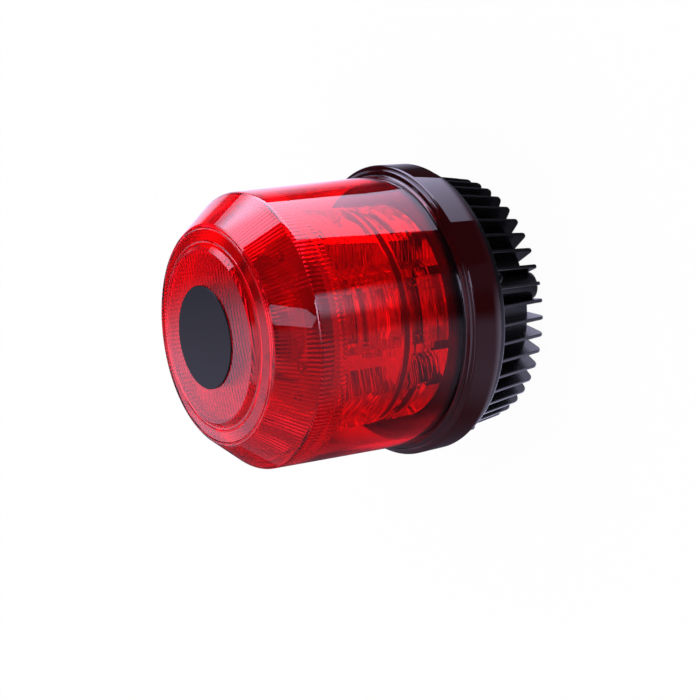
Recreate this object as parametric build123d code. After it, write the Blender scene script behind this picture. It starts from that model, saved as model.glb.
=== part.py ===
from build123d import *
import os
from math import cos, radians, sin, sqrt

# LED beacon: a finned die-cast base, a red dome and a two-tier lamp stack with six faces.
# Millimetres. Z is the beacon's axis, z = 0 is the plane of the fins' back ends.

# Patterns
front = -90.0                 # angle of the first fin, boss and screw about the axis
fin_count = 45
boss_count = 3
module_count = 6
optics_angle = -4.5           # the lamp stack is turned this far from the first boss

# Fits
seat_gap = 0.15               # between curved faces that seat on each other
slip_gap = 0.4                # between a piece and the bore or wall that it drops into
thread_gap = 0.1              # between a screw's core and its hole, all round
cut_over = 1.0                # how far a cutting shape reaches past the face that it opens

# Heat sink base: the ring behind the dome, the spigot in the dome, the finned cup behind the ring
ring_radius = 72.6
ring_back = 32.0
ring_thickness = 4.2
ring_edge_round = 1.0
spigot_inset = 6.4            # from the ring's edge in to the spigot
spigot_wall = 3.4
spigot_height = 9.8
core_inset = 19.1             # from the ring's edge in to the cup
core_wall = 5.0
core_back = 3.0
floor_thickness = 4.5
fin_inset = 3.9               # from the ring's edge in to the fins' edge, at the ring
fin_taper = 5.1               # from there in to the fins' edge at their back ends
fin_root = 3.5                # how deep the fins start in the cup's wall
fin_thickness = 1.8
fin_toe_radius = 3.5
fin_edge_chamfer = 0.4
boss_circle_inset = 1.0       # from the cup's outer face in to the bosses' middles
boss_radius = 7.0

# Mounting thread inserts in the bosses
insert_radius = 4.0
insert_bore_radius = 2.5
insert_length = 12.0
insert_recess = 0.5

# Cable outlet
outlet_radius = 7.0
grommet_lip_radius = 10.5
grommet_lip = 1.6
grommet_lip_taper = 1.0
grommet_bore_radius = 3.6

# Driver board and its parts
driver_board_gap = 4.1        # between the board's edge and the cup's wall
board_post_inset = 6.4        # from the board's edge in to its posts
board_post_count = 4
board_post_angle = 45.0
board_post_radius = 3.6
board_post_height = 7.0
board_thickness = 1.6
capacitor_radius = 5.0
capacitor_height = 12.5
capacitor_round = 0.75
capacitor_count = 3
capacitor_pitch = 12.0
capacitor_inset = 18.4        # from the board's edge in to their row
inductor_radius = 9.0
inductor_hole_radius = 3.8
inductor_height = 8.0
inductor_round = 2.0
inductor_inset = 22.4         # from the board's edge in to its middle
inductor_y = -2.0
transistor_width = 10.0
transistor_thickness = 4.5
transistor_height = 11.0
transistor_tab_thickness = 1.3
transistor_tab_height = 3.4
transistor_tab_hole_radius = 1.2
transistor_pitch = 14.0
transistor_inset = 22.4       # from the board's edge in to their row
transistor_y = 4.0
terminal_length = 15.4
terminal_width = 8.0
terminal_height = 10.0
terminal_ways = 3
terminal_mouth_width = 3.0
terminal_mouth_height = 3.5
terminal_mouth_middle = 3.0
terminal_mouth_depth = 4.0
terminal_screw_radius = 1.5
terminal_screw_depth = 2.5
terminal_screw_y = 1.2
terminal_inset = 18.4         # from the board's edge in to its middle
header_length = 12.0
header_width = 5.0
header_height = 9.0
header_wall = 1.0
header_floor = 2.7
header_y = 8.0

# Screws
m3_core_radius = 1.25
m3_shank_radius = 1.5
m3_head_radius = 2.75
m3_head_height = 2.0
m4_core_radius = 1.65
m4_head_radius = 3.6
m4_head_height = 2.4
head_flat_share = 0.7         # a head's flat top, of its radius
cross_length_share = 1.1      # the cross slot's length, of the head's radius
cross_width_share = 0.3       # the cross slot's width, of the head's height
screw_bite = 7.0              # length of a screw's core in its blind hole
hole_spare = 1.5              # blind depth past a screw's end

# Heat spreader plate
plate_thickness = 4.0
plate_chamfer = 0.6
plate_screw_count = 6
plate_screw_angle = 14.0
sunk_head_gap = 0.2           # under the plate's face, over a sunk screw head
wire_hole_radius = 12.0       # over the pin header
column_screw_count = 3

# Dome
dome_wall = 3.0
skirt_overhang = 2.4          # past the base's ring
skirt_draft = 0.6
skirt_seat_width = 0.7        # how far the skirt's back end lies on the ring
skirt_height = 16.0
skirt_web = 3.0
skirt_edge_round = 1.8
shoulder_rise = 2.2           # from the skirt's edge up to the foot of the wall
shoulder_round = 3.4
wall_height = 82.1
wall_draft = 0.7
kink_round = 6.0
cone_rise = 18.0
cone_run = 13.8
rim_edge_width = 0.8
rim_edge_rise = 0.7
rim_width = 9.2
rim_rise = 1.6
step_width = 2.5
step_rise = 2.6
crown_rise = 0.8
small_round = 0.8
sealing_wall_gap = 1.0        # under the dome's inner wall
dome_screw_count = 5          # a divisor of the fin count, so each screw lies between two fins
dome_screw_offset = 0.2       # from the wall's outer face out to the screws' circle
dome_boss_radius = 3.1

# Label disc on the crown
label_radius = 25.5
label_thickness = 0.8
label_chamfer = 0.24

# Sealing ring between spigot and dome
seal_width = 2.0
seal_height = 2.4
seal_lift = 5.0               # from the ring's front face up to the seal's middle
seal_chamfer = 0.6

# Reflectors
foot_inset = 7.8              # from the spigot's inner face in to the lower reflector's foot
foot_height = 12.9            # from the plate up to the lowest ridge
lower_tier_height = 25.3
lower_tier_flare = 0.4        # how much the lower reflector widens from its foot to its top
divider_thickness = 3.2
divider_inset = 1.8
upper_tier_height = 39.1
upper_tier_flare = 1.9
ridge_land = 1.4              # height of a ridge's narrow outer face
trough_depth = 11.5           # below the foot's outer face
trough_half_angle = 17.0
trough_bow = 3.2              # how far a slope's middle stands out from the trough's bottom
trough_bow_share = 0.54       # where that middle lies on the way from the ridge to the window
reflector_wall = 2.0
pillar_angle = 2.4            # wall between a trough and the groove beside it
groove_depth = 6.0            # of the grooves between modules, below the foot's outer face
window_margin = 1.2           # round a row of LEDs

# LED column, a six-sided tube, and the LED boards on its faces
column_wall = 5.0
column_corner_round = 4.0
column_drop = 3.3             # below the upper reflector's top
led_clearance = 2.2           # between the LEDs' front and the reflectors' inner wall
led_board_width = 31.0
led_board_lift = 5.8          # above the plate
led_board_drop = 1.4          # below the column's top
led_size = 5.0
led_thickness = 1.7
led_lens_size = 3.4
led_lens_thickness = 0.6
led_pitch = 8.0
leds_in_row = 3

# Lens bars
bar_inset = 0.4               # behind the foot's outer face
bar_thickness = 3.0
lower_bar_height = 5.6
lower_bar_lift = 0.85         # above the middle of its tier
upper_row_pitch = 5.8         # between the upper tier's two LED rows, and its bars' two ribs
upper_bar_valley = 0.9        # depth of the valley between the upper bar's two ribs
bar_edge = 1.0                # thickness that a bar keeps at its edges, at least
tab_thickness = 1.4
tab_length = 6.0
tab_angle = 62.0              # between a bar's end face and its tab
notch_angle = 0.5             # room at a bar's ends in the walls that hold it

# Reflector tray
tray_drop = 0.1               # below the lowest ridge
tray_flange_thickness = 2.2
tray_flange_gap = 1.0         # between the tray's edge and the dome's wall
tray_wall = 2.4

# Top cap over the lamp stack
cap_thickness = 2.4
cap_inset = 0.3               # inside the upper reflector's edge
cap_edge_slope = 1.0
cap_dish_inset = 2.75         # from its screws' heads in to the dish
cap_dish_run = 14.0           # from the dish's edge in to its flat middle
cap_dish_rise = 6.0
cap_screw_count = 3

# Radii and heights of the base that follow from the sizes above
ring_front = ring_back + ring_thickness
spigot_radius = ring_radius - spigot_inset
spigot_inner_radius = spigot_radius - spigot_wall
spigot_top = ring_front + spigot_height
core_radius = ring_radius - core_inset
cavity_radius = core_radius - core_wall
floor_top = core_back + floor_thickness
fin_front_radius = ring_radius - fin_inset
fin_back_radius = fin_front_radius - fin_taper
fin_inner_radius = core_radius - fin_root
boss_circle_radius = core_radius - boss_circle_inset
driver_board_radius = cavity_radius - driver_board_gap
board_post_circle_radius = driver_board_radius - board_post_inset
driver_board_bottom = floor_top + board_post_height
driver_board_top = driver_board_bottom + board_thickness
capacitor_row_y = driver_board_radius - capacitor_inset
inductor_x = inductor_inset - driver_board_radius
transistor_x = driver_board_radius - transistor_inset
terminal_y = terminal_inset - driver_board_radius
board_screw_end = driver_board_bottom - board_post_height + 2 * hole_spare
plate_bottom = ring_front
plate_top = plate_bottom + plate_thickness
plate_radius = spigot_inner_radius - slip_gap
plate_screw_circle_radius = core_radius - core_wall / 2
plate_screw_seat = plate_top - m3_head_height - sunk_head_gap
seal_radius = spigot_radius + slip_gap
seal_inner_radius = seal_radius - seal_width
seal_bottom = ring_front + seal_lift - seal_height / 2
seal_top = seal_bottom + seal_height

# Radii and heights of the dome
skirt_radius = ring_radius + skirt_overhang
skirt_back_radius = skirt_radius - skirt_draft
skirt_inner_radius = ring_radius - skirt_seat_width
skirt_edge_height = ring_front + skirt_height
skirt_shoulder_height = skirt_edge_height + shoulder_rise
wall_base_radius = spigot_radius + slip_gap + dome_wall
wall_top_radius = wall_base_radius - wall_draft
kink_height = skirt_shoulder_height + wall_height
cone_top_radius = wall_top_radius - cone_run
cone_top_height = kink_height + cone_rise
rim_outer_radius = cone_top_radius - rim_edge_width
rim_outer_height = cone_top_height + rim_edge_rise
rim_inner_radius = rim_outer_radius - rim_width
rim_inner_height = rim_outer_height + rim_rise
plateau_radius = rim_inner_radius - step_width
plateau_height = rim_inner_height + step_rise
crown_height = plateau_height + crown_rise
dome_screw_circle_radius = wall_base_radius + dome_screw_offset
dome_screw_angle = front + 180 / fin_count

# Radii and heights of the lamp stack
foot_radius = spigot_inner_radius - foot_inset
middle_radius = foot_radius + lower_tier_flare
upper_top_radius = middle_radius + upper_tier_flare
lower_ridge_bottom = plate_top + foot_height
lower_ridge_top = lower_ridge_bottom + lower_tier_height
upper_ridge_bottom = lower_ridge_top + divider_thickness
upper_ridge_top = upper_ridge_bottom + upper_tier_height
divider_radius = middle_radius - divider_inset
trough_radius = foot_radius - trough_depth
groove_radius = foot_radius - groove_depth
reflector_inner_radius = trough_radius - reflector_wall
ridge_seat_radius = groove_radius - reflector_wall
groove_half_angle = 180.0 / module_count - trough_half_angle - pillar_angle
led_front = reflector_inner_radius - led_clearance
led_body_front = led_front - led_lens_thickness
led_board_front = led_front - led_thickness
led_board_back = led_board_front - board_thickness
column_apothem = led_board_back
column_bottom = plate_top
column_top = upper_ridge_top - column_drop
column_screw_radius = column_apothem - column_wall / 2
led_board_bottom = plate_top + led_board_lift
led_board_top = column_top - led_board_drop
bar_front_radius = foot_radius - bar_inset
bar_back_radius = bar_front_radius - bar_thickness
bar_half_angle = trough_half_angle + pillar_angle
lower_bar_middle = (lower_ridge_bottom + lower_ridge_top) / 2 + lower_bar_lift
upper_bar_middle = (upper_ridge_bottom + upper_ridge_top) / 2
upper_bar_height = 2 * upper_row_pitch
tray_top = lower_ridge_bottom - tray_drop
tray_wall_radius = spigot_inner_radius - seat_gap
tray_flange_radius = wall_base_radius - dome_wall - tray_flange_gap
cap_bottom = upper_ridge_top
cap_radius = upper_top_radius - cap_inset
cap_dish_radius = column_screw_radius - m3_head_radius - cap_dish_inset
cap_crown_radius = cap_dish_radius - cap_dish_run
parts = {}


def turned(shape, angle):
    """The shape turned about the beacon's axis."""
    return Rot(0, 0, angle) * shape


def ring_of(shape, count, start=0.0):
    """Copies of a shape, which is built along +X, evenly round the axis."""
    return [turned(shape, start + i * 360 / count) for i in range(count)]


def spun(points, arc=360.0, rounds=None):
    """A solid of revolution from an outline of (radius, height) points, with rounded corners."""
    face = Plane.XZ * make_face(Polyline(*points, close=True))
    for (radius, height), size in (rounds or {}).items():
        corner = Vector(radius, 0, height)
        vertex = min(face.vertices(), key=lambda v: (Vector(*v) - corner).length)
        face = fillet(vertex, size)
    return revolve(face, Axis.Z, arc)


def rod(radius, bottom, top):
    """A round rod on the axis between two heights."""
    return extrude(Pos(0, 0, bottom) * Circle(radius), top - bottom)


def rod_at(distance, radius, bottom, top):
    """A round rod beside the axis, on the X axis."""
    return Pos(distance, 0, 0) * rod(radius, bottom, top)


def tube(outer, inner, bottom, top):
    """A round tube on the axis between two heights."""
    return extrude(Pos(0, 0, bottom) * (Circle(outer) - Circle(inner)), top - bottom)


def block(length, width, height):
    """A block on the axis that stands on z = 0."""
    return Pos(0, 0, height / 2) * Box(length, width, height)


def box_at(x0, x1, width, bottom, top):
    """A block that reaches along +X from x0 to x1, centred on the X axis."""
    return Pos((x0 + x1) / 2, 0, (bottom + top) / 2) * Box(x1 - x0, width, top - bottom)


def screw(distance, seat, end, core, head_radius, head_height):
    """A pan head screw beside the axis: its head lies on the seat, its core reaches to the end."""
    head_end = seat + head_height if end < seat else seat - head_height
    shoulder = (seat + head_end) / 2
    body_radius = core - thread_gap
    body = spun([
        (0, end), (body_radius, end), (body_radius, seat), (head_radius, seat), (head_radius, shoulder),
        (head_radius * head_flat_share, head_end), (0, head_end),
    ])
    cross_length = head_radius * cross_length_share
    cross_width = head_height * cross_width_share
    slot = Pos(0, 0, head_end) * Box(cross_length, cross_width, head_height)
    return Pos(distance, 0, 0) * (body - slot - turned(slot, 90))


def inset(points, wall):
    """An open outline moved inwards by the wall: each corner is where its moved sides meet."""
    moved = []
    for (r0, z0), (r1, z1) in zip(points, points[1:]):
        length = sqrt((r1 - r0) ** 2 + (z1 - z0) ** 2)
        nr = -(z1 - z0) / length * wall
        nz = (r1 - r0) / length * wall
        moved.append(((r0 + nr, z0 + nz), (r1 + nr, z1 + nz)))
    corners = [moved[0][0]]
    for (a, b), (c, d) in zip(moved, moved[1:]):
        ux, uz = b[0] - a[0], b[1] - a[1]
        vx, vz = d[0] - c[0], d[1] - c[1]
        cross = ux * vz - uz * vx
        t = ((c[0] - a[0]) * vz - (c[1] - a[1]) * vx) / cross
        corners.append((a[0] + ux * t, a[1] + uz * t))
    corners.append(moved[-1][1])
    return corners


def fin():
    """One radial fin with a sloping outer edge and a rounded toe at its back end."""
    end = ring_back + cut_over
    outline = Polyline(
        (fin_inner_radius, 0), (fin_back_radius, 0), (fin_front_radius, end), (fin_inner_radius, end),
        close=True,
    )
    face = Plane.XZ * make_face(outline)
    toe = min(face.vertices(), key=lambda v: abs(v.X - fin_back_radius) + abs(v.Z))
    face = fillet(toe, fin_toe_radius)
    blade = extrude(face, fin_thickness / 2, both=True)
    tip = blade.edges().filter_by(lambda e: abs(e.center().Y) > fin_thickness / 4)
    tip = tip.filter_by(lambda e: e.center().X > (fin_inner_radius + fin_back_radius) / 2)
    tip = tip.filter_by(lambda e: e.center().Z < ring_back and e.length > fin_thickness)
    return chamfer(tip, fin_edge_chamfer)


def base_holes():
    """Every round hole of the base: for inserts, the posts' screws, the plate's and the dome's."""
    insert_hole = rod_at(
        boss_circle_radius, insert_radius + seat_gap, -cut_over, insert_length + insert_recess)
    bolt_end = rod_at(boss_circle_radius, insert_bore_radius, 0, insert_length + 2 * hole_spare)
    post_top = driver_board_bottom + cut_over
    post_hole = rod_at(board_post_circle_radius, m3_core_radius, board_screw_end - hole_spare, post_top)
    over_ring = ring_front + cut_over
    plate_hole_end = ring_front - screw_bite - hole_spare
    plate_hole = rod_at(plate_screw_circle_radius, m3_core_radius, plate_hole_end, over_ring)
    dome_hole = rod_at(dome_screw_circle_radius, m3_shank_radius, ring_back - cut_over, over_ring)
    holes = ring_of(insert_hole, boss_count, front) + ring_of(bolt_end, boss_count, front)
    holes += ring_of(post_hole, board_post_count, front + board_post_angle)
    holes += ring_of(plate_hole, plate_screw_count, front + plate_screw_angle)
    return holes + ring_of(dome_hole, dome_screw_count, dome_screw_angle)


def heat_sink_base():
    """The die-cast base: finned cup with mounting bosses, ring, spigot and board posts."""
    cup = spun([
        (0, core_back), (core_radius, core_back), (core_radius, ring_back),
        (ring_radius, ring_back), (ring_radius, ring_front), (spigot_radius, ring_front),
        (spigot_radius, spigot_top), (spigot_inner_radius, spigot_top),
        (spigot_inner_radius, ring_front), (cavity_radius, ring_front),
        (cavity_radius, floor_top), (0, floor_top),
    ], rounds={(ring_radius, ring_back): ring_edge_round, (core_radius, core_back): ring_edge_round})
    fins = ring_of(fin(), fin_count, front)
    bosses = ring_of(rod_at(boss_circle_radius, boss_radius, 0, ring_back), boss_count, front)
    post = rod_at(board_post_circle_radius, board_post_radius, floor_top, driver_board_bottom)
    posts = ring_of(post, board_post_count, front + board_post_angle)
    groove_bottom = seal_inner_radius - seat_gap
    seal_groove = tube(spigot_radius + cut_over, groove_bottom, seal_bottom - seat_gap, seal_top + seat_gap)
    outlet = rod(outlet_radius, core_back - cut_over, floor_top + cut_over)
    return cup + fins + bosses + posts - seal_groove - outlet - base_holes()


def mount_inserts():
    """Three threaded steel bushes, pressed into the bosses from behind."""
    bush = tube(insert_radius, insert_bore_radius, insert_recess, insert_recess + insert_length - seat_gap)
    return ring_of(Pos(boss_circle_radius, 0, 0) * bush, boss_count, front)


def cable_grommet():
    """The rubber grommet in the floor's outlet: two lips and a bore for the cable."""
    neck = outlet_radius - seat_gap
    outer_end = core_back - grommet_lip
    inner_end = floor_top + grommet_lip
    return spun([
        (grommet_bore_radius, outer_end), (grommet_lip_radius - grommet_lip_taper, outer_end),
        (grommet_lip_radius, core_back), (neck, core_back), (neck, floor_top),
        (grommet_lip_radius - grommet_lip_taper, floor_top),
        (grommet_lip_radius - 2 * grommet_lip_taper, inner_end), (grommet_bore_radius, inner_end),
    ])


def driver_board():
    """The round constant-current board on the four posts."""
    disc = rod(driver_board_radius, driver_board_bottom, driver_board_top)
    bottom = driver_board_bottom - cut_over
    hole = rod_at(board_post_circle_radius, m3_shank_radius, bottom, driver_board_top + cut_over)
    return disc - ring_of(hole, board_post_count, front + board_post_angle)


def driver_capacitors():
    """A row of electrolytic capacitors."""
    can = rod(capacitor_radius, driver_board_top, driver_board_top + capacitor_height)
    can = fillet(can.edges().group_by(Axis.Z)[-1], capacitor_round)
    span = (capacitor_count - 1) * capacitor_pitch
    return [Pos(i * capacitor_pitch - span / 2, capacitor_row_y, 0) * can for i in range(capacitor_count)]


def driver_inductor():
    """A wound toroid that lies flat on the board."""
    coil = tube(inductor_radius, inductor_hole_radius, 0, inductor_height)
    return Pos(inductor_x, inductor_y, driver_board_top) * fillet(coil.edges(), inductor_round)


def driver_transistors():
    """Two power transistors with their cooling tabs."""
    body = block(transistor_width, transistor_thickness, transistor_height)
    tab = block(transistor_width, transistor_tab_thickness, transistor_tab_height)
    tab -= Pos(0, 0, transistor_tab_height / 2) * Rot(90, 0, 0) * Cylinder(
        transistor_tab_hole_radius, 2 * transistor_width)
    tab_y = (transistor_thickness - transistor_tab_thickness) / 2
    one = body + Pos(0, tab_y, transistor_height) * tab
    one = Pos(transistor_x, transistor_y, driver_board_top) * one
    return [one, Pos(0, -transistor_pitch, 0) * one]


def terminal_block():
    """The supply terminals, with a wire mouth and a screw well for each way."""
    housing = block(terminal_length, terminal_width, terminal_height)
    pitch = terminal_length / terminal_ways
    mouth = Box(terminal_mouth_width, 2 * terminal_mouth_depth, terminal_mouth_height)
    well = Cylinder(terminal_screw_radius, 2 * terminal_screw_depth)
    for i in range(terminal_ways):
        x = (i - (terminal_ways - 1) / 2) * pitch
        housing -= Pos(x, -terminal_width / 2, terminal_mouth_middle) * mouth
        housing -= Pos(x, terminal_screw_y, terminal_height) * well
    return Pos(0, terminal_y, driver_board_top) * housing


def led_header():
    """The pin header that feeds the LED boards through the plate."""
    body = block(header_length, header_width, header_height)
    well = block(header_length - 2 * header_wall, header_width - 2 * header_wall, header_height)
    return Pos(0, header_y, driver_board_top) * (body - Pos(0, 0, header_floor) * well)


def driver_screws():
    """Four screws that hold the driver board."""
    one = screw(board_post_circle_radius, driver_board_top, board_screw_end,
                m3_core_radius, m3_head_radius, m3_head_height)
    return ring_of(one, board_post_count, front + board_post_angle)


def heat_spreader_plate():
    """The aluminium plate that closes the cup and carries the LED column."""
    bottom = plate_bottom - cut_over
    top = plate_top + cut_over
    disc = rod(plate_radius, plate_bottom, plate_top)
    disc = chamfer(disc.edges().group_by(Axis.Z)[-1], plate_chamfer)
    shank_hole = rod_at(plate_screw_circle_radius, m3_shank_radius, bottom, top)
    head_hole = rod_at(plate_screw_circle_radius, m3_head_radius + slip_gap, plate_screw_seat, top)
    column_hole = rod_at(column_screw_radius, m4_core_radius + slip_gap, bottom, top)
    holes = ring_of(shank_hole, plate_screw_count, front + plate_screw_angle)
    holes += ring_of(head_hole, plate_screw_count, front + plate_screw_angle)
    holes += ring_of(column_hole, column_screw_count, front + optics_angle)
    return disc - holes - rod(wire_hole_radius, bottom, top)


def plate_screws():
    """Screws that clamp the plate on the cup's wall."""
    one = screw(plate_screw_circle_radius, plate_screw_seat, ring_front - screw_bite,
                m3_core_radius, m3_head_radius, m3_head_height)
    return ring_of(one, plate_screw_count, front + plate_screw_angle)


def dome_seal():
    """The rubber ring in the spigot's groove."""
    ring = tube(seal_radius, seal_inner_radius, seal_bottom, seal_top)
    return chamfer(ring.edges(), seal_chamfer)


def dome_shell():
    """The dome's wall: nearly straight, then a cone, a flat rim, a step and the crown."""
    sealing_foot = ring_front + sealing_wall_gap
    slope = wall_draft / wall_height
    foot = wall_base_radius + slope * (skirt_shoulder_height - sealing_foot)
    bell = [
        (foot, sealing_foot), (wall_top_radius, kink_height), (cone_top_radius, cone_top_height),
        (rim_outer_radius, rim_outer_height), (rim_inner_radius, rim_inner_height),
        (plateau_radius, plateau_height), (label_radius + seat_gap, crown_height), (0, crown_height),
    ]
    outer = spun(bell + [(0, sealing_foot)], rounds={
        bell[1]: kink_round, bell[2]: small_round, bell[3]: small_round / 2,
        bell[4]: small_round, bell[5]: small_round,
    })
    hollow = inset(bell, dome_wall)
    below = sealing_foot - cut_over
    inner = spun([(hollow[0][0], below)] + hollow[1:-1] + [(0, hollow[-1][1]), (0, below)], rounds={
        hollow[1]: kink_round - dome_wall, hollow[5]: small_round,
    })
    return outer - inner


def dome_skirt():
    """The skirt round the dome's foot, up to a thin layer that joins it to the wall."""
    web = skirt_edge_height - skirt_web
    merge_top = kink_height - 2 * kink_round
    return spun([
        (skirt_inner_radius, ring_front), (skirt_back_radius, ring_front),
        (skirt_radius, skirt_edge_height), (wall_base_radius, skirt_shoulder_height),
        (wall_top_radius, merge_top),
        (wall_top_radius - dome_wall / 2, merge_top), (wall_base_radius - dome_wall / 2, web),
        (skirt_inner_radius, web),
    ], rounds={
        (skirt_radius, skirt_edge_height): skirt_edge_round,
        (wall_base_radius, skirt_shoulder_height): shoulder_round,
    })


def lens_dome():
    """The red dome and its skirt, one moulding, with screw bosses between skirt and sealing wall."""
    boss_top = skirt_edge_height - skirt_web / 2
    boss = rod_at(dome_screw_circle_radius, dome_boss_radius, ring_front, boss_top)
    pilot_end = ring_front + screw_bite + hole_spare
    pilot = rod_at(dome_screw_circle_radius, m3_core_radius, ring_front - cut_over, pilot_end)
    dome = dome_shell() + dome_skirt() + ring_of(boss, dome_screw_count, dome_screw_angle)
    return dome - ring_of(pilot, dome_screw_count, dome_screw_angle)


def dome_screws():
    """Screws between the fins that draw the dome onto the ring from behind."""
    one = screw(dome_screw_circle_radius, ring_back, ring_front + screw_bite,
                m3_core_radius, m3_head_radius, m3_head_height)
    return ring_of(one, dome_screw_count, dome_screw_angle)


def label_disc():
    """The thin black disc on the crown of the dome."""
    disc = rod(label_radius, crown_height, crown_height + label_thickness)
    return chamfer(disc.edges().group_by(Axis.Z)[-1], label_chamfer)


def hexagon(apothem):
    """A hexagon with one side across the +X axis."""
    return Rot(0, 0, 180 / module_count) * RegularPolygon(apothem, module_count, major_radius=False)


def led_column():
    """The six-sided aluminium tube that carries the LED boards and leads their heat down."""
    outline = fillet(hexagon(column_apothem).vertices(), column_corner_round)
    bore = hexagon(column_apothem - column_wall)
    column = extrude(Pos(0, 0, column_bottom) * (outline - bore), column_top - column_bottom)
    deep = screw_bite + hole_spare
    foot_hole = rod_at(column_screw_radius, m4_core_radius, column_bottom - cut_over, column_bottom + deep)
    head_hole = rod_at(column_screw_radius, m3_core_radius, column_top - deep, column_top + cut_over)
    column -= ring_of(foot_hole, column_screw_count)
    column -= ring_of(head_hole, cap_screw_count, 360 / module_count)
    return turned(column, front + optics_angle)


def column_screws():
    """Screws under the plate that hold the column."""
    one = screw(column_screw_radius, plate_bottom, plate_top + screw_bite,
                m4_core_radius, m4_head_radius, m4_head_height)
    return ring_of(one, column_screw_count, front + optics_angle)


def led_board():
    """One flat LED board, on the column's face across +X."""
    board = box_at(led_board_back, led_board_front, led_board_width, led_board_bottom, led_board_top)
    return chamfer(board.edges().filter_by(Axis.X), board_thickness)


def led_row(middle):
    """One row of square LED packages with a raised square lens."""
    low = middle - led_size / 2
    lens_low = middle - led_lens_size / 2
    package = box_at(led_board_front, led_body_front, led_size, low, low + led_size)
    lens = box_at(led_body_front, led_front, led_lens_size, lens_low, lens_low + led_lens_size)
    places = [(i - (leds_in_row - 1) / 2) * led_pitch for i in range(leds_in_row)]
    return [Pos(0, y, 0) * (package + lens) for y in places]


def lower_leds():
    """The LEDs of the lower tier on all six boards."""
    row = led_row(lower_bar_middle)
    return [led for one in row for led in ring_of(one, module_count, front + optics_angle)]


def upper_leds():
    """The LEDs of the upper tier, two rows on each board."""
    half = upper_row_pitch / 2
    rows = led_row(upper_bar_middle - half) + led_row(upper_bar_middle + half)
    return [led for one in rows for led in ring_of(one, module_count, front + optics_angle)]


def slope(ridge_radius, ridge_height, window_height):
    """The bowed slope of a trough, from past a ridge to the edge of its window."""
    middle_height = ridge_height + (window_height - ridge_height) * trough_bow_share
    return ThreePointArc(
        (ridge_radius + cut_over, ridge_height), (trough_radius + trough_bow, middle_height),
        (trough_radius, window_height))


def trough(bottom_radius, bottom, top_radius, top, window_bottom, window_top):
    """The curved reflecting channel of one module, as a solid to cut away."""
    lower = slope(bottom_radius, bottom, window_bottom)
    upper = slope(top_radius, top, window_top)
    outline = Curve() + [lower, Line(lower @ 1, upper @ 1), upper, Line(upper @ 0, lower @ 0)]
    channel = revolve(Plane.XZ * make_face(outline), Axis.Z, 2 * trough_half_angle)
    return turned(channel, -trough_half_angle)


def corner_groove(bottom, top):
    """The V groove between two modules, as a solid to cut away."""
    side = radians(groove_half_angle)
    edge_x = upper_top_radius * cos(side)
    edge_y = upper_top_radius * sin(side)
    reach = skirt_radius
    half_width = edge_y * (reach - groove_radius) / (edge_x - groove_radius)
    face = make_face(Polyline((groove_radius, 0), (reach, half_width), (reach, -half_width), close=True))
    groove = extrude(Pos(0, 0, bottom) * face, top - bottom)
    return turned(groove, 180 / module_count)


def window(middle, height):
    """The opening behind a trough for its LEDs, as a solid to cut away."""
    width = (leds_in_row - 1) * led_pitch + led_size + 2 * window_margin
    low = middle - height / 2
    return box_at(led_front + seat_gap, trough_radius + cut_over, width, low, low + height)


def bar_notch(middle, height):
    """The notch through a module's side walls that takes a lens bar, as a solid to cut away."""
    half = bar_half_angle + notch_angle
    low = middle - height / 2 - seat_gap
    high = middle + height / 2 + seat_gap
    back = bar_back_radius - seat_gap
    notch = spun([(back, low), (skirt_radius, low), (skirt_radius, high), (back, high)], arc=2 * half)
    return turned(notch, -half)


def reflector(outline, cuts):
    """A reflector ring: the spun outline less the cuts of one module, repeated for each module."""
    body = spun(outline)
    for cut in cuts:
        body -= ring_of(cut, module_count)
    return turned(body, front + optics_angle)


def lower_reflector():
    """The lower metallised ring: six troughs, a foot on the plate and grooves between modules."""
    window_height = led_size + 2 * window_margin
    low = lower_bar_middle - window_height / 2
    high = lower_bar_middle + window_height / 2
    foot_inner = foot_radius - reflector_wall
    foot_top = lower_ridge_bottom - ridge_land
    outline = [
        (foot_inner, plate_top), (foot_radius, plate_top), (foot_radius, lower_ridge_bottom),
        (middle_radius, lower_ridge_top), (ridge_seat_radius, lower_ridge_top),
        (reflector_inner_radius, high + reflector_wall), (reflector_inner_radius, low - reflector_wall),
        (ridge_seat_radius, foot_top), (foot_inner, foot_top),
    ]
    cut_bottom = lower_ridge_bottom + ridge_land
    cut_top = lower_ridge_top - ridge_land
    return reflector(outline, [
        trough(foot_radius, cut_bottom, middle_radius, cut_top, low, high),
        corner_groove(cut_bottom, cut_top),
        window(lower_bar_middle, window_height),
        bar_notch(lower_bar_middle, lower_bar_height),
    ])


def upper_reflector():
    """The upper metallised ring, taller, with two LED rows behind each trough."""
    window_height = upper_row_pitch + led_size + 2 * window_margin
    low = upper_bar_middle - window_height / 2
    high = upper_bar_middle + window_height / 2
    outline = [
        (ridge_seat_radius, upper_ridge_bottom), (middle_radius, upper_ridge_bottom),
        (upper_top_radius, upper_ridge_top), (ridge_seat_radius, upper_ridge_top),
        (reflector_inner_radius, high + reflector_wall), (reflector_inner_radius, low - reflector_wall),
    ]
    cut_bottom = upper_ridge_bottom + ridge_land
    cut_top = upper_ridge_top - ridge_land
    return reflector(outline, [
        trough(middle_radius, cut_bottom, upper_top_radius, cut_top, low, high),
        corner_groove(cut_bottom, cut_top),
        window(upper_bar_middle, window_height),
        bar_notch(upper_bar_middle, upper_bar_height),
    ])


def tier_divider():
    """The black ring between the two reflectors."""
    ring = tube(divider_radius, reflector_inner_radius, lower_ridge_top, upper_ridge_bottom)
    return turned(ring, front + optics_angle)


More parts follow.
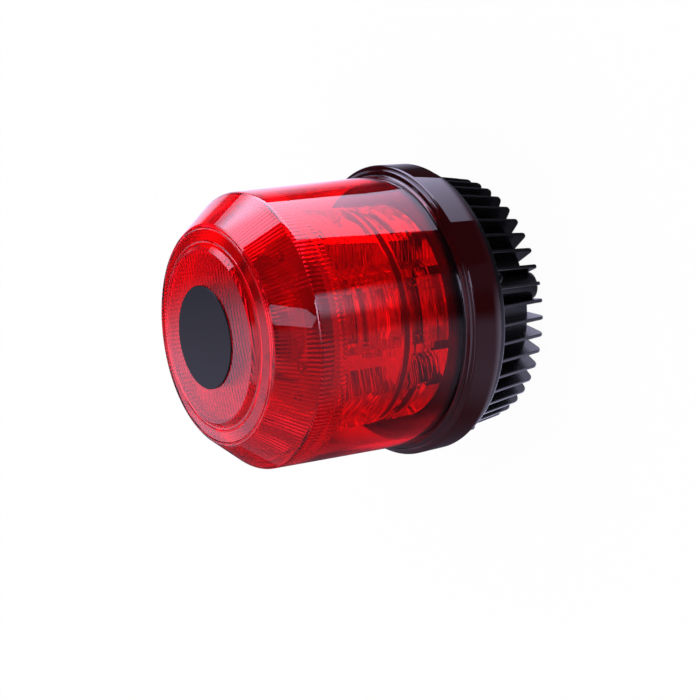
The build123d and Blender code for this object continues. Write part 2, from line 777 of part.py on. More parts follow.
def lens_bar(middle, height, ribs):
    """One clear bar with a convex front, clipped into a module's side walls by its end tabs."""
    rib = height / ribs
    bottom = middle - height / 2
    top = bottom + height
    edge_radius = bar_back_radius + bar_edge
    valley_radius = bar_front_radius - upper_bar_valley
    outline = Curve() + [
        Line((bar_back_radius, top), (bar_back_radius, bottom)),
        Line((bar_back_radius, bottom), (edge_radius, bottom)),
    ]
    for i in range(ribs):
        start = edge_radius if i == 0 else valley_radius
        end = edge_radius if i == ribs - 1 else valley_radius
        z = bottom + i * rib
        outline += ThreePointArc((start, z), (bar_front_radius, z + rib / 2), (end, z + rib))
    outline += Line((edge_radius, top), (bar_back_radius, top))
    bar = turned(revolve(Plane.XZ * make_face(outline), Axis.Z, 2 * bar_half_angle), -bar_half_angle)
    tab = Box(tab_length, tab_thickness, height, align=(Align.MIN, Align.MIN, Align.CENTER))
    tab = Pos(edge_radius, 0, middle) * Rot(0, 0, tab_angle - 180) * tab
    tab = turned(tab, bar_half_angle)
    return bar + tab + mirror(tab, Plane.XZ)


def lower_lens_bars():
    """The six bars of the lower tier."""
    return ring_of(lens_bar(lower_bar_middle, lower_bar_height, 1), module_count, front + optics_angle)


def upper_lens_bars():
    """The six double-ribbed bars of the upper tier."""
    return ring_of(lens_bar(upper_bar_middle, upper_bar_height, 2), module_count, front + optics_angle)


def reflector_tray():
    """The black ring that closes the space round the lower reflector's foot."""
    inner = foot_radius + slip_gap
    flange_bottom = tray_top - tray_flange_thickness
    return spun([
        (inner, flange_bottom), (tray_wall_radius - tray_wall, flange_bottom),
        (tray_wall_radius - tray_wall, plate_top), (tray_wall_radius, plate_top),
        (tray_wall_radius, flange_bottom), (tray_flange_radius, flange_bottom),
        (tray_flange_radius, tray_top), (inner, tray_top),
    ], rounds={(tray_flange_radius, tray_top): small_round})


def top_cap():
    """The metallised lid on the lamp stack, dished in the middle."""
    outer = reflector_inner_radius
    inner = outer - cap_thickness
    crown = cap_bottom + cap_dish_rise
    rim_top = cap_bottom + cap_thickness
    seat_top = column_top + cap_thickness
    cap = spun([
        (0, crown), (cap_crown_radius, crown), (cap_dish_radius, column_top), (outer, column_top),
        (outer, cap_bottom), (cap_radius, cap_bottom), (cap_radius - cap_edge_slope, rim_top),
        (inner, rim_top), (inner, seat_top), (cap_dish_radius + cap_thickness / 2, seat_top),
        (cap_crown_radius, crown + cap_thickness), (0, crown + cap_thickness),
    ])
    hole = rod_at(column_screw_radius, m3_shank_radius, column_top - cut_over, seat_top + cut_over)
    return turned(cap - ring_of(hole, cap_screw_count, 360 / module_count), front + optics_angle)


def cap_screws():
    """Screws that hold the cap and the stack down on the column."""
    one = screw(column_screw_radius, column_top + cap_thickness, column_top - screw_bite,
                m3_core_radius, m3_head_radius, m3_head_height)
    return ring_of(one, cap_screw_count, front + optics_angle + 360 / module_count)


for build in (
    heat_sink_base, mount_inserts, cable_grommet, driver_board, driver_capacitors, driver_inductor,
    driver_transistors, terminal_block, led_header, driver_screws, heat_spreader_plate, plate_screws,
    dome_seal, lens_dome, dome_screws, label_disc, led_column, column_screws, lower_leds, upper_leds,
    lower_reflector, upper_reflector, tier_divider, lower_lens_bars, upper_lens_bars, reflector_tray,
    top_cap, cap_screws,
):
    parts[build.__name__] = build()
for number, board in enumerate(ring_of(led_board(), module_count, front + optics_angle), 1):
    parts["led_board_%d" % number] = board

os.makedirs("parts", exist_ok=True)
for name, shape in parts.items():
    solid = Compound(children=list(shape)) if isinstance(shape, (list, ShapeList)) else shape
    export_step(solid, "parts/%s.step" % name)
    print(name, round(solid.volume, 1))
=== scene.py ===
from math import atan2, cos, degrees, hypot, pi, radians, sin, tan

import bpy
from mathutils import Matrix, Vector


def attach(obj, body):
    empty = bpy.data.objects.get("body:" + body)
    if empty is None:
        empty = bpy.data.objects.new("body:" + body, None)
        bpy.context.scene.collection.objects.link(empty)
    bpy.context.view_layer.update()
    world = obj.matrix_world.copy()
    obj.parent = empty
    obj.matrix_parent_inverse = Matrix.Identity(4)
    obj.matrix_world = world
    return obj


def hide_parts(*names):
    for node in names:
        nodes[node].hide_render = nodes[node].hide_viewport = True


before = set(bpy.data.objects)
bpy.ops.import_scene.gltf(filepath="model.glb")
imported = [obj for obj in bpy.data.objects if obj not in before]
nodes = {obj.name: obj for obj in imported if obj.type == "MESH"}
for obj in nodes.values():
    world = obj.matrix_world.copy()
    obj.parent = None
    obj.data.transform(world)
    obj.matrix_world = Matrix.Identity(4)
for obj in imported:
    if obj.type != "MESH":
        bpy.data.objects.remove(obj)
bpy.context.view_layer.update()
scene = bpy.context.scene
MM = 0.001


# The camera, where the photograph was taken from: the beacon's axis points to the picture's left

camera_distance = 1.06147     # metres
camera_azimuth = -2.5         # degrees, like the angles that follow
camera_elevation = 36.03
camera_roll = 98.34
camera_tilt = 1.467
camera_pan = -3.414
camera_lens = 102.857         # mm
sensor_width = 36.0           # mm


def photograph_camera():
    """The camera at the photograph's place. Returns the picture's up and back directions."""
    azimuth = radians(camera_azimuth)
    elevation = radians(camera_elevation)
    back = Vector((sin(azimuth) * cos(elevation), -cos(azimuth) * cos(elevation), sin(elevation)))
    right = Vector((0, 0, 1)).cross(back).normalized()
    look = Matrix((right, back.cross(right), back)).transposed()
    roll = Matrix.Rotation(radians(camera_roll), 3, "Z")
    tilt = Matrix.Rotation(radians(camera_tilt), 3, "X")
    pan = Matrix.Rotation(radians(camera_pan), 3, "Y")
    turn = look @ roll.transposed() @ pan.transposed() @ tilt.transposed()
    data = bpy.data.cameras.new("photograph_camera")
    data.lens = camera_lens
    data.sensor_width = sensor_width
    camera = bpy.data.objects.new("photograph_camera", data)
    camera.matrix_world = Matrix.Translation(back * camera_distance) @ turn.to_4x4()
    scene.collection.objects.link(camera)
    scene.camera = camera
    return turn.col[1], turn.col[2]


picture_up, picture_back = photograph_camera()
scene.view_settings.view_transform = "Standard"

# Light that runs along inside the dome's wall and flutes needs many turns before it comes out
scene.cycles.max_bounces = 40
scene.cycles.glossy_bounces = 20
scene.cycles.transmission_bounces = 24


# Node trees

class Tree:
    """The node tree of a material or world, with short ways to add its nodes."""

    def __init__(self, owner):
        owner.use_nodes = True
        self.nodes = owner.node_tree.nodes
        self.links = owner.node_tree.links

    def feed(self, socket, value):
        """Gives a socket a constant or the output of another node."""
        if isinstance(value, bpy.types.NodeSocket):
            self.links.new(value, socket)
        else:
            socket.default_value = value

    def fill(self, node, inputs):
        """Feeds the inputs of a node, by name or number."""
        for key, value in inputs.items():
            self.feed(node.inputs[key], value)
        return node

    def add(self, kind, inputs):
        """A new node with its inputs fed."""
        return self.fill(self.nodes.new(kind), inputs)

    def principled(self, inputs):
        """The output of the material's own Principled shader, with its inputs fed."""
        return self.fill(self.nodes["Principled BSDF"], inputs).outputs[0]

    def surface(self, shader):
        """Makes a shader the material's surface."""
        self.feed(self.nodes["Material Output"].inputs["Surface"], shader)

    def math(self, operation, first, second=0.0):
        node = self.add("ShaderNodeMath", {0: first, 1: second})
        node.operation = operation
        return node.outputs[0]

    def joined(self, operation, values):
        """Several values, joined one after the other."""
        result = values[0]
        for value in values[1:]:
            result = self.math(operation, result, value)
        return result

    def product(self, *values):
        return self.joined("MULTIPLY", values)

    def total(self, *values):
        return self.joined("ADD", values)

    def most(self, *values):
        return self.joined("MAXIMUM", values)

    def ramp(self, value, low, high, at_low=0.0, at_high=1.0, smooth=True):
        """A value that goes from at_low to at_high while the input goes from low to high."""
        node = self.add("ShaderNodeMapRange", {
            "Value": value, "From Min": low, "From Max": high, "To Min": at_low, "To Max": at_high,
        })
        node.interpolation_type = "SMOOTHSTEP" if smooth else "LINEAR"
        return node.outputs[0]

    def mixed_values(self, share, first, second):
        return self.add("ShaderNodeMix", {"Factor": share, 2: first, 3: second}).outputs[0]

    def mixed_colours(self, share, first, second):
        node = self.nodes.new("ShaderNodeMix")
        node.data_type = "RGBA"
        return self.fill(node, {"Factor": share, 6: first, 7: second}).outputs[2]

    def mixed_shaders(self, share, first, second):
        return self.add("ShaderNodeMixShader", {0: share, 1: first, 2: second}).outputs[0]

    def place(self):
        """The place on the object, in metres."""
        return self.add("ShaderNodeTexCoord", {}).outputs["Object"]

    def axis(self, name, vector=None):
        """The X, Y or Z of a vector, or else of the place."""
        return self.add("ShaderNodeSeparateXYZ", {0: vector or self.place()}).outputs[name]

    def radius(self):
        """The distance of the place from the beacon's axis."""
        x, y = self.axis("X"), self.axis("Y")
        return self.math("SQRT", self.total(self.product(x, x), self.product(y, y)))

    def vector(self, operation, first, second=(0, 0, 0)):
        """Two vectors joined by an operation."""
        node = self.add("ShaderNodeVectorMath", {0: first, 1: second})
        node.operation = operation
        return node.outputs["Vector"]

    def facing(self, direction, towards):
        """The cosine of the angle between two directions."""
        node = self.add("ShaderNodeVectorMath", {0: direction, 1: tuple(towards)})
        node.operation = "DOT_PRODUCT"
        return node.outputs["Value"]

    def ray(self, kind):
        """What kind the ray is that sees the surface, or its length."""
        return self.add("ShaderNodeLightPath", {}).outputs[kind]

    def noise(self, scale, detail=3.0, vector=None):
        inputs = {"Scale": scale, "Detail": detail, "Vector": vector or self.place()}
        return self.add("ShaderNodeTexNoise", inputs).outputs["Fac"]

    def bump(self, height, distance):
        inputs = {"Strength": 1.0, "Distance": distance, "Height": height}
        return self.add("ShaderNodeBump", inputs).outputs[0]


def new_material(name):
    """A material and its tree."""
    material = bpy.data.materials.new(name)
    return material, Tree(material)


# Opaque materials

gloss_patches = 90            # the scale of a noise, like the other patches and the grain
gloss_edges = (0.3, 0.7)
gloss_change = 0.15           # share of the roughness, either way
coat_grain = 1400
coat_grain_depth = 0.00006    # metres
ripple_stretch = (30, 30, 420)
ripple_depth = 0.0010


def plain(name, colour, roughness, metallic):
    """One colour, with a slightly uneven gloss."""
    material, tree = new_material(name)
    low, high = roughness * (1 - gloss_change), roughness * (1 + gloss_change)
    gloss = tree.ramp(tree.noise(gloss_patches), *gloss_edges, low, high)
    tree.principled({"Base Color": (*colour, 1), "Metallic": metallic, "Roughness": gloss})
    return material


def cast_black():
    """Black powder coat on a casting, with a fine grain."""
    material, tree = new_material("cast_black")
    tree.principled({
        "Base Color": (0.004, 0.004, 0.005, 1), "Roughness": 0.24, "Specular IOR Level": 0.3,
        "Normal": tree.bump(tree.noise(coat_grain, 2), coat_grain_depth),
    })
    return material


def metallised(name, brightness, roughness):
    """Bright metal film on plastic, with fine ripples that run round the reflectors."""
    material, tree = new_material(name)
    stretched = tree.vector("MULTIPLY", tree.place(), ripple_stretch)
    tree.principled({
        "Base Color": (brightness, brightness, brightness, 1), "Metallic": 1.0,
        "Roughness": roughness, "Normal": tree.bump(tree.noise(1.0, 2, stretched), ripple_depth),
    })
    return material


def label_black():
    """Satin black print film."""
    material, tree = new_material("label_black")
    tree.principled({
        "Base Color": (0.007, 0.007, 0.011, 1), "Roughness": 0.30, "Specular IOR Level": 0.16,
    })
    return material


# Clear materials

thin_red = (0.84, 0.004, 0.010, 1)
thick_red = (0.06, 0.0005, 0.001, 1)
# Painted shade: the skirt's dark red as the camera sees it, in place of the black base and dark room
# seen through the clear plastic
skirt_painted_shade_red = (0.022, 0.0006, 0.001, 1)
lens_white = (0.95, 0.95, 0.95, 1)
red_shadow = (0.9, 0.03, 0.04, 1)
lens_shadow = (0.9, 0.9, 0.9, 1)
plastic_ior = 1.49
lens_roughness = 0.03
painted_skirt_clearness = 0.15
thin_above = 0.0600           # metres, like the lengths that follow
thick_below = 0.0560
crown_ribs_low = 0.1552
crown_ribs_high = 0.1578
crown_ribs_radius = 0.0425
crown_ribs_fade = 0.0003
crown_ribs_edge = 0.001
crown_ribs_depth = 0.0002


def clear_plastic(colour, roughness=0.0, clearness=1.0):
    """The inputs of a Principled shader for clear plastic."""
    return {
        "Base Color": colour, "Roughness": roughness, "IOR": plastic_ior,
        "Transmission Weight": clearness,
    }


def lit_through(tree, shader, shadow_colour):
    """The surface of a clear piece that lets lamp light fall through in its own colour."""
    clear = tree.add("ShaderNodeBsdfTransparent", {"Color": shadow_colour}).outputs[0]
    tree.surface(tree.mixed_shaders(tree.ray("Is Shadow Ray"), shader, clear))


def crown_ribs(tree):
    """Fine uneven ribs on the underside of the crown."""
    wave = tree.add("ShaderNodeTexWave", {
        "Scale": 120.0, "Distortion": 1.8, "Detail": 1.0, "Detail Scale": 0.5,
        "Vector": tree.place(),
    })
    wave.bands_direction = "Y"
    z = tree.axis("Z")
    under_crown = tree.product(
        tree.ramp(z, crown_ribs_low, crown_ribs_low + crown_ribs_fade),
        tree.ramp(z, crown_ribs_high, crown_ribs_high - crown_ribs_fade),
        tree.ramp(tree.radius(), crown_ribs_radius, crown_ribs_radius - crown_ribs_edge),
    )
    return tree.bump(tree.product(wave.outputs["Fac"], under_crown), crown_ribs_depth)


def red_dome():
    """Clear red moulding, deeper red at its foot, with fine ribs under the crown."""
    material, tree = new_material("red_dome")
    thick = tree.ramp(tree.axis("Z"), thin_above, thick_below)
    inputs = clear_plastic(tree.mixed_colours(thick, thin_red, thick_red))
    inputs["Normal"] = crown_ribs(tree)
    lit_through(tree, tree.principled(inputs), red_shadow)
    return material


def red_skirt_painted_shade():
    """The same plastic over the black base, with painted shade: to the camera a nearly opaque dark
    red stands in for the dark base and room seen through it; clear to other rays.
    """
    material, tree = new_material("red_skirt_painted_shade")
    # Painted shade: to the camera the skirt is a dark, nearly opaque red instead of clear plastic
    dark = tree.principled(clear_plastic(skirt_painted_shade_red, clearness=painted_skirt_clearness))
    clear = tree.add("ShaderNodeBsdfPrincipled", clear_plastic(thick_red)).outputs[0]
    tree.surface(tree.mixed_shaders(tree.ray("Is Camera Ray"), clear, dark))
    return material


def clear_lens():
    """Clear plastic of the lens bars."""
    material, tree = new_material("clear_lens")
    lit_through(tree, tree.principled(clear_plastic(lens_white, lens_roughness)), lens_shadow)
    return material


# Materials for the pieces that stay as they were modelled

plain_materials = [           # name, colour, roughness, metallic, pieces
    ("steel", (0.55, 0.55, 0.56), 0.28, 1.0,
     ["mount_inserts", "cap_screws", "column_screws", "driver_screws", "plate_screws"]),
    ("black_steel", (0.03, 0.03, 0.03), 0.4, 1.0, ["dome_screws"]),
    ("aluminium", (0.75, 0.75, 0.76), 0.35, 1.0, ["led_column", "heat_spreader_plate"]),
    ("rubber", (0.015, 0.015, 0.016), 0.6, 0.0, ["cable_grommet", "dome_seal"]),
    ("tray_black", (0.012, 0.012, 0.013), 0.35, 0.0, ["reflector_tray"]),
    ("divider_grey", (0.16, 0.16, 0.17), 0.4, 0.0, ["tier_divider"]),
    ("white_board", (0.75, 0.76, 0.72), 0.45, 0.0,
     ["led_board_%d" % number for number in range(1, 7)]),
    ("led_package", (0.85, 0.80, 0.45), 0.3, 0.0, ["lower_leds", "upper_leds"]),
    ("circuit_board", (0.02, 0.16, 0.06), 0.4, 0.0, ["driver_board"]),
    ("capacitor_sleeve", (0.03, 0.03, 0.05), 0.35, 0.0, ["driver_capacitors"]),
    ("inductor_winding", (0.50, 0.20, 0.07), 0.3, 0.6, ["driver_inductor"]),
    ("package_black", (0.02, 0.02, 0.02), 0.5, 0.0, ["driver_transistors", "led_header"]),
    ("terminal_green", (0.03, 0.32, 0.10), 0.4, 0.0, ["terminal_block"]),
]


def dress(material, *names):
    """Gives modelled pieces their material."""
    for name in names:
        data = nodes[name].data
        data.materials.clear()
        data.materials.append(material)


def dress_all():
    """Dresses all pieces but the dome."""
    for name, colour, roughness, metallic, names in plain_materials:
        dress(plain(name, colour, roughness, metallic), *names)
    dress(cast_black(), "heat_sink_base")
    dress(label_black(), "label_disc")
    dress(metallised("metallised", 0.92, 0.12), "lower_reflector", "upper_reflector")
    dress(metallised("metallised_lid", 0.50, 0.30), "top_cap")
    dress(clear_lens(), "lower_lens_bars", "upper_lens_bars")


# Modelling helpers

smooth_under = 30             # degrees between two faces
same_height = 1e-6            # metres
same_radius = 1.01            # how many times the radius a point may be out


def start_fresh():
    """Leaves edit mode and deselects everything."""
    if bpy.context.object and bpy.context.object.mode == "EDIT":
        bpy.ops.object.mode_set(mode="OBJECT")
    bpy.ops.object.select_all(action="DESELECT")


def turned_vector(first, last, share):
    """A flat vector turned from first towards last by a share of the angle between them."""
    angle = atan2(first.x * last.y - first.y * last.x, first.dot(last)) * share
    return Vector((first.x * cos(angle) - first.y * sin(angle),
                   first.x * sin(angle) + first.y * cos(angle)))


def rounded(points, rounds, steps):
    """An outline of (radius, height) points; rounds maps a point's number to its rounding radius.

    A point at the end of a short straight run on both sides of each rounding keeps the shading of
    the long flat faces flat.
    """
    outline = []
    for number, point in enumerate(points):
        if number not in rounds:
            outline.append(point)
            continue
        here = Vector(point)
        before = (Vector(points[number - 1]) - here).normalized()
        after = (Vector(points[number + 1]) - here).normalized()
        half = before.angle(after) / 2
        reach = rounds[number] / tan(half)
        centre = here + (before + after).normalized() * (rounds[number] / sin(half))
        first = here + before * reach - centre
        last = here + after * reach - centre
        outline.append(tuple(here + before * (reach + straight_run)))
        for step in range(steps + 1):
            outline.append(tuple(centre + turned_vector(first, last, step / steps)))
        outline.append(tuple(here + after * (reach + straight_run)))
    return outline


def inset_outline(points, wall):
    """An outline moved sideways by a wall; each corner is where its moved sides meet."""
    sides = []
    for start, end in zip(points, points[1:]):
        start, end = Vector(start), Vector(end)
        along = (end - start).normalized()
        across = Vector((along.y, -along.x)) * wall
        sides.append((start + across, end + across))
    corners = [sides[0][0]]
    for (a, b), (c, d) in zip(sides, sides[1:]):
        u, v = b - a, d - c
        share = ((c.x - a.x) * v.y - (c.y - a.y) * v.x) / (u.x * v.y - u.y * v.x)
        corners.append(a + u * share)
    corners.append(sides[-1][1])
    return [tuple(corner) for corner in corners]


def spun_skin(name, outline, segments):
    """A skin round the axis, drawn ring by ring by extruding a circle along an outline in mm."""
    start_fresh()
    first_radius, first_height = outline[0]
    bpy.ops.mesh.primitive_circle_add(
        vertices=segments, radius=first_radius * MM, location=(0, 0, 0))
    piece = bpy.context.object
    piece.name = name
    bpy.ops.object.mode_set(mode="EDIT")
    bpy.ops.mesh.select_all(action="SELECT")
    bpy.ops.transform.translate(value=(0, 0, first_height * MM))
    for (radius, height), (next_radius, next_height) in zip(outline, outline[1:]):
        rise = (next_height - height) * MM
        bpy.ops.mesh.extrude_region_move(TRANSFORM_OT_translate={"value": (0, 0, rise)})
        share = next_radius / radius
        bpy.ops.transform.resize(
            value=(share, share, 1), center_override=(0, 0, next_height * MM))
    bpy.ops.object.mode_set(mode="OBJECT")
    return piece


def select_where(piece, test):
    """In edit mode: selects the vertices whose place passes the test."""
    bpy.ops.object.mode_set(mode="EDIT")
    bpy.ops.mesh.select_mode(type="VERT")
    bpy.ops.mesh.select_all(action="DESELECT")
    bpy.ops.object.mode_set(mode="OBJECT")
    for vertex in piece.data.vertices:
        vertex.select = test(vertex.co)
    bpy.ops.object.mode_set(mode="EDIT")


def close_pole(piece, height):
    """Merges the small ring on the axis at a height into one point."""
    def on_pole(co):
        near_axis = hypot(co.x, co.y) < pole_radius * MM * same_radius
        return near_axis and abs(co.z - height * MM) < same_height

    select_where(piece, on_pole)
    bpy.ops.mesh.merge(type="CENTER")
    bpy.ops.object.mode_set(mode="OBJECT")


def outward(piece):
    """Turns all faces outwards and smooths all but the sharp edges."""
    bpy.ops.object.mode_set(mode="EDIT")
    bpy.ops.mesh.select_all(action="SELECT")
    bpy.ops.mesh.normals_make_consistent(inside=False)
    bpy.ops.object.mode_set(mode="OBJECT")
    bpy.ops.object.shade_smooth_by_angle(angle=radians(smooth_under))


# The dome, in mm

dome_wall = 3.0
ring_front = 36.2
sealing_foot = 37.2
foot_radius = 69.74
wall_base_radius = 69.6
wall_top_radius = 68.9
kink_height = 136.5
cone_top_radius = 55.1
cone_top_height = 154.5
rim_outer_radius = 54.3
rim_outer_height = 155.2
rim_inner_radius = 45.1
rim_inner_height = 156.8
plateau_radius = 42.6
plateau_height = 159.4
label_radius = 25.65
crown_height = 160.2
pole_radius = 0.6
skirt_radius = 75.0
skirt_back_radius = 74.4
skirt_inner_radius = 71.9
skirt_edge_height = 52.2
skirt_shoulder_height = 54.4
skirt_web_height = 49.2
step_rounding = 0.8
rim_rounding = 0.4
kink_rounding = 3.0
shoulder_rounding = 1.6
skirt_rounding = 1.2
straight_run = 0.12
rim_bead_radii = (46.7, 53.0)
skirt_bead_radius = 72.3
bead_height = 0.4
bead_reach = 0.6
bead_rounding = 0.4
flute_pitch = 2.0             # degrees
flute_depth = 0.4
upper_flutes_low = 122.0      # the lower end of the flutes on the upright wall
flutes_run_out = 0.8          # between the rings under that end, which keep its shading short
run_out_rings = 3
near_height = 0.1             # how far off a point may be to count as one of the flutes'
near_radius = 0.2
dome_segments = 720
rounding_steps = 6
bead_steps = 4


def bead(radius, start, end):
    """The section of a small raised line that runs round on the slope between two points."""
    slope = (end[1] - start[1]) / (end[0] - start[0])
    before, top, after = [(radius + move, start[1] + slope * (radius + move - start[0]))
                          for move in (-bead_reach, 0, bead_reach)]
    raised = (top[0], top[1] + bead_height)
    return rounded([before, raised, after], {1: bead_rounding}, bead_steps)


def outer_outline(bell):
    """The dome's outside from the crown's middle to the back of the skirt."""
    crown_middle, label_edge, plateau, rim_inner, rim_outer, cone_top, kink = bell
    shoulder = (wall_base_radius, skirt_shoulder_height)
    skirt_edge = (skirt_radius, skirt_edge_height)
    rim = [point for radius in rim_bead_radii for point in bead(radius, rim_inner, rim_outer)]
    ridge = bead(skirt_bead_radius, shoulder, skirt_edge)
    crown = rounded(
        [crown_middle, label_edge, plateau, rim_inner, rim[0]],
        {2: step_rounding, 3: step_rounding}, rounding_steps)
    wall = rounded(
        [rim[-1], rim_outer, cone_top, kink, shoulder, ridge[0]],
        {1: rim_rounding, 2: step_rounding, 3: kink_rounding, 4: shoulder_rounding},
        rounding_steps)
    skirt = rounded(
        [ridge[-1], skirt_edge, (skirt_back_radius, ring_front)],
        {1: skirt_rounding}, rounding_steps)
    return crown[:-1] + rim + wall[1:-1] + ridge + skirt[1:]


def inner_outline(bell):
    """The dome's inside: the bell's points moved in, the rings where the flutes end, and the foot."""
    inner = inset_outline(bell + [(foot_radius, sealing_foot)], dome_wall)
    inner[0] = (pole_radius, inner[0][1])
    kink, foot = inner[-2:]
    rings = []
    for number in range(run_out_rings):
        height = upper_flutes_low - number * flutes_run_out
        share = (kink[1] - height) / (kink[1] - foot[1])
        rings.append((kink[0] + (foot[0] - kink[0]) * share, height))
    return inner[:-1] + rings + [foot]


def cut_flutes(piece, cone_top, kink):
    """V-shaped flutes on the inside of the cone and of the upper wall: lines of points move in."""
    lines = round(flute_pitch * dome_segments / 360)

    def line_of(co):
        return round(degrees(atan2(co.y, co.x)) * dome_segments / 360) % lines

    def on_flutes(co):
        height = co.z / MM
        radius = hypot(co.x, co.y) / MM
        if abs(radius - kink[0]) < near_radius:
            return upper_flutes_low - near_height < height < kink[1] + near_height
        return abs(height - cone_top[1]) < near_height and abs(radius - cone_top[0]) < near_radius

    for line in range(lines):
        depth = flute_depth * (1 - abs(2 * line / lines - 1))
        share = 1 - depth / kink[0]
        select_where(piece, lambda co: line_of(co) == line and on_flutes(co))
        bpy.ops.transform.resize(value=(share, share, 1), center_override=(0, 0, 0))
        bpy.ops.object.mode_set(mode="OBJECT")


def lens_dome(material, skirt_material):
    """The red moulding, with its fluted inside and its skirt."""
    bell = [
        (pole_radius, crown_height), (label_radius, crown_height), (plateau_radius, plateau_height),
        (rim_inner_radius, rim_inner_height), (rim_outer_radius, rim_outer_height),
        (cone_top_radius, cone_top_height), (wall_top_radius, kink_height),
    ]
    under_skirt = [
        (skirt_inner_radius, ring_front), (skirt_inner_radius, skirt_web_height),
        (wall_base_radius, skirt_web_height), (foot_radius, sealing_foot),
    ]
    inner = inner_outline(bell)
    inner_cone_top, inner_kink = inner[len(bell) - 2:len(bell)]
    outline = outer_outline(bell) + under_skirt + inner[::-1]
    piece = spun_skin("lens_dome_moulding", outline, dome_segments)
    close_pole(piece, crown_height)
    close_pole(piece, inner[0][1])
    cut_flutes(piece, inner_cone_top, inner_kink)
    outward(piece)
    piece.data.materials.append(material)
    piece.data.materials.append(skirt_material)
    for face in piece.data.polygons:
        face.material_index = 1 if face.center.z < skirt_shoulder_height * MM else 0
    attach(piece, "root")
    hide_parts("lens_dome")


# The studio: white to the camera; reflections see the soft boxes, the white table and the dark room

light_violet = (1.03, 1.0, 1.42, 1)
floor_size = 8                # metres
floor_glow = 0.96             # the share of the floor's white that doesn't depend on the light
surround_hole = 20            # mm, like the lengths that follow
surround_radius = 3000
surround_top_hole = 6
table_clearance = 0.8
card_clearance = 1.6
surround_rings = 12
surround_segments = 96
room_centre = (0, 0, 0.08)    # metres
room_dark = 0.03
table_patches = 9
room_patches = 0.9

# Ramps of the light: from, to, level before, level after. Places are in metres. A turn is the
# angle round the axis from the front towards -X. The room's ramps go by cosines of directions.

room_through_glass = (0.40, 0.60, 0.14, 1.05)
fins_rays = (0.061, 0.053)
fins_table = (0.015, -0.045, 0.10, 1.8)
front_begins = (radians(9), radians(20), 0.0, 0.32)
front_ends = (radians(42), radians(78), 1.0, 0.1)
box_begins = (radians(-18), radians(-13))
box_ends = (radians(-5), radians(3), 1.0, 0.12)
box_is_gone = (radians(14), radians(24), 1.0, 0.0)
box_far = (0.190, 0.285)
box_far_power = 1.6
box_far_level = 1.9
box_near_level = 0.06
behind_direction = (-0.571, 0.821)
behind_begins = (-0.05034, 0.02966)
behind_side = (-0.02, 0.05)
behind_far = (0.70, 1.20, 1.0, 0.06)
beyond_begins = (0.03, 0.09, 0.0, 1.2)
beyond_ends = (0.205, 0.175)
beyond_side = (-0.02, 0.05, 0.12, 0.5)

room_low = (-0.045, -0.15)
crown_deep = (0.3, 0.7)
crown_high = (0.1, 0.35)
crown_across = (-0.40, -0.30)
room_table = (0, 1, 0.22, 1.1)
backdrop_spread = (-0.82, -0.95, 0.0, 0.6)
overhead_direction = (-0.30, -0.15, 0.94)
overhead_spread = (0.83, 0.90, 0.0, 1.1)
overhead_deep = (0.0, -0.2)

low_box_level = (0.06, 0.30, 1.4, 3.75)
high_box_level = (0.195, 0.23, 6.0, 3.4)
high_box_end = (0.085, 0.190, 1.0, 0.2)
middle_level = (-0.11, 0.04, 1.0, 6.0)
edge_level = 2.6
front_level = 1.8


def white_world():
    """Even white light from all sides."""
    world = bpy.data.worlds.new("studio")
    scene.world = world
    tree = Tree(world)
    tree.fill(tree.nodes["Background"], {"Color": (1, 1, 1, 1), "Strength": 1.0})


def white_floor():
    """A floor that is almost white to the camera, in reflections and through clear pieces."""
    start_fresh()
    bpy.ops.mesh.primitive_plane_add(size=floor_size, location=(0, 0, 0))
    plane = bpy.context.object
    plane.name = "floor"
    material, tree = new_material("floor_white")
    matt = tree.principled({"Base Color": (0.9, 0.9, 0.9, 1), "Roughness": 1.0})
    glow = tree.add("ShaderNodeEmission", {}).outputs[0]
    kinds = ("Is Camera Ray", "Is Glossy Ray", "Is Transmission Ray")
    seen_white = tree.most(*[tree.ray(kind) for kind in kinds])
    tree.surface(tree.mixed_shaders(tree.product(seen_white, floor_glow), matt, glow))
    plane.data.materials.append(material)


def glow_material(name, strength_of):
    """A glowing material in the lamps' violet white; strength_of makes its strength in its tree."""
    material, tree = new_material(name)
    tree.nodes.remove(tree.nodes["Principled BSDF"])
    glow = tree.add("ShaderNodeEmission", {"Color": light_violet, "Strength": strength_of(tree)})
    tree.surface(glow.outputs[0])
    return material


def only_reflected(piece, through_glass):
    """The piece shows in reflections, and to what is seen through glass if asked."""
    piece.visible_camera = False
    piece.visible_diffuse = False
    piece.visible_shadow = False
    piece.visible_volume_scatter = False
    piece.visible_transmission = through_glass


def card(name, corners, strength_of, through_glass=False):
    """A flat glowing card with corners in mm."""
    data = bpy.data.meshes.new(name)
    data.from_pydata([Vector(corner) * MM for corner in corners], [], [range(len(corners))])
    piece = bpy.data.objects.new(name, data)
    scene.collection.objects.link(piece)
    data.materials.append(glow_material(name, strength_of))
    only_reflected(piece, through_glass)


def darkness(tree, patch_scale):
    """The dark room's level: low in reflections; through the clear dome higher, in soft patches."""
    patches = tree.ramp(tree.noise(patch_scale, 2), *room_through_glass)
    return tree.mixed_values(tree.ray("Is Transmission Ray"), room_dark, patches)


def as_fins_see(tree, level):
    """A level for the long rays of the dome; the fins, close over the table, send short rays.

    To the fins the table is dark on the lit side and bright on the other.
    """
    short = tree.ramp(tree.ray("Ray Length"), *fins_rays)
    return tree.mixed_values(short, level, tree.ramp(tree.axis("X"), *fins_table))


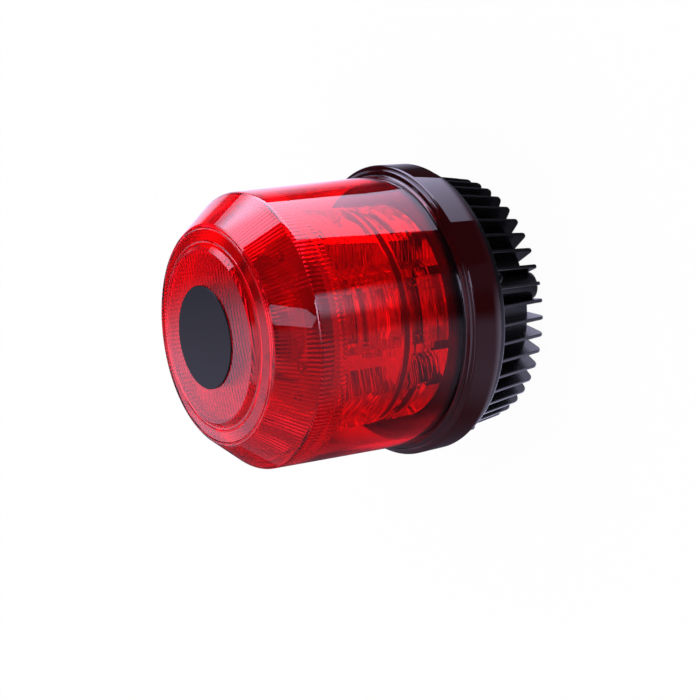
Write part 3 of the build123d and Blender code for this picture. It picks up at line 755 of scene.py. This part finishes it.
def table_glow(tree):
    """The white table: lit in front, with a soft box low in front, and bright behind.

    Through the clear dome its far part is brighter still.
    """
    x, y, radius = tree.axis("X"), tree.axis("Y"), tree.radius()
    turn = tree.math("ARCTAN2", tree.product(x, -1.0), tree.product(y, -1.0))
    front = tree.product(tree.ramp(turn, *front_begins), tree.ramp(turn, *front_ends))
    far = tree.math("POWER", tree.ramp(radius, *box_far, smooth=False), box_far_power)
    box = tree.product(
        tree.ramp(turn, *box_begins), tree.ramp(turn, *box_ends), tree.ramp(turn, *box_is_gone),
        tree.total(tree.product(far, box_far_level), box_near_level))
    across, deep = behind_direction
    along = tree.total(tree.product(x, across), tree.product(y, deep))
    behind = tree.product(
        tree.ramp(along, *behind_begins, smooth=False), tree.ramp(x, *behind_side),
        tree.ramp(radius, *behind_far))
    beyond = tree.product(
        tree.ray("Is Transmission Ray"), tree.ramp(y, *beyond_begins),
        tree.ramp(radius, *beyond_ends), tree.ramp(x, *beyond_side))
    level = tree.total(tree.most(front, box, behind), darkness(tree, table_patches), beyond)
    return as_fins_see(tree, level)


def room_glow(tree):
    """The room by direction: dark, with the table's far end, the backdrop and a glow overhead."""
    away = tree.vector("NORMALIZE", tree.vector("SUBTRACT", tree.place(), room_centre))
    across, deep, high = [tree.axis(name, away) for name in "XYZ"]
    crown_side = tree.product(
        tree.ramp(deep, *crown_deep), tree.ramp(high, *crown_high),
        tree.ramp(across, *crown_across))
    table = tree.product(
        tree.ramp(tree.facing(away, picture_up), *room_low),
        tree.ramp(crown_side, *room_table, smooth=False))
    backdrop = tree.ramp(tree.facing(away, picture_back), *backdrop_spread)
    overhead = tree.product(
        tree.ramp(tree.facing(away, overhead_direction), *overhead_spread),
        tree.ramp(deep, *overhead_deep))
    return tree.total(tree.most(table, backdrop, overhead), darkness(tree, room_patches))


def surround():
    """The table as a ring just over the floor, and the room as a wide hemisphere."""
    outline = [(surround_hole, table_clearance), (surround_radius, table_clearance)]
    for ring in range(1, surround_rings + 1):
        angle = pi / 2 * ring / surround_rings
        radius = max(surround_radius * cos(angle), surround_top_hole)
        outline.append((radius, table_clearance + surround_radius * sin(angle)))
    piece = spun_skin("surround", outline, surround_segments)
    piece.data.materials.append(glow_material("table_glow", table_glow))
    piece.data.materials.append(glow_material("room_glow", room_glow))
    for face in piece.data.polygons:
        face.material_index = 1 if face.center.z > 2 * table_clearance * MM else 0
    only_reflected(piece, True)


def low_box_glow(tree):
    """The soft box as the upright wall mirrors it, brighter farther out."""
    return as_fins_see(tree, tree.ramp(tree.axis("X"), *low_box_level, smooth=False))


def high_box_glow(tree):
    """The soft box as the cone mirrors it, with its hot middle low and its far end fading."""
    return tree.product(
        tree.ramp(tree.axis("Z"), *high_box_level), tree.ramp(tree.axis("Y"), *high_box_end))


def middle_glow(tree):
    """The front box as the kink of the dome mirrors it, fading to one side."""
    return tree.ramp(tree.axis("X"), *middle_level)


def even(strength):
    """The same strength all over a card."""
    return lambda tree: strength


def studio():
    """The white surroundings, and what the dome and the base mirror."""
    white_world()
    white_floor()
    surround()
    card("soft_box_high", [
        (300, -150, card_clearance), (300, 110, card_clearance), (300, 200, 120),
        (300, 200, 420), (300, 5, 420),
    ], high_box_glow, through_glass=True)
    card("soft_box_low", [(x, y, card_clearance) for x, y in [
        (70, -42), (103, -21), (118, -7), (164, 13), (227, 57), (300, 110),
        (300, -150), (170, -123), (110, -103), (60, -78),
    ]], low_box_glow, through_glass=True)
    card("front_box_edge", [
        (75, -285, 2), (22, -290, 2), (22, -290, 190), (75, -285, 190),
    ], even(edge_level))
    card("front_box_middle", [
        (66, -300, 205), (-110, -300, 205), (-140, -560, 560), (120, -560, 560),
    ], middle_glow)
    card("front_box", [
        (236, -600, 707), (92, -600, 650), (5, -600, 638), (-80, -600, 650), (-1, -600, 689),
    ], even(front_level))


dress_all()
lens_dome(red_dome(), red_skirt_painted_shade())
studio()
